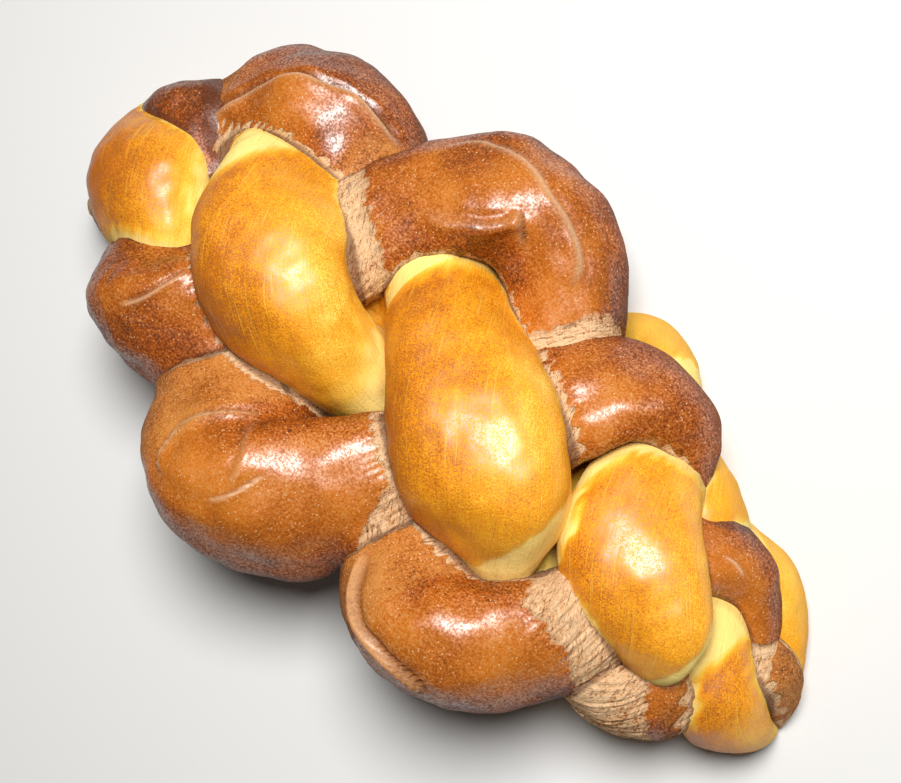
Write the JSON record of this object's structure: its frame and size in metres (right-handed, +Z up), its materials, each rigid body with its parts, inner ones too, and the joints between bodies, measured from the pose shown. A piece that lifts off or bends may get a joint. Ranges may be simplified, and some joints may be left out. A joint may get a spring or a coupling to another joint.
{
  "type": "braided loaf",
  "caption": "Plaited bread loaf: egg-washed golden ropes of dough crossed over and under cocoa ropes, fat in the middle, pinched at both ends, resting on its flat underside.",
  "frame": {"origin": "middle of the loaf's box, on the flat underside that it rests on", "axes": "+X along the loaf towards its thinner end, +Y to its right side seen from above with the thin end at the front of +X, +Z up"},
  "size_m": [0.3236, 0.1768, 0.0915],
  "materials": {
    "crust": "baked crust under egg wash, satin"
  },
  "bodies": {
    "root": {"loaf": "crust"}
  },
  "joints": []
}
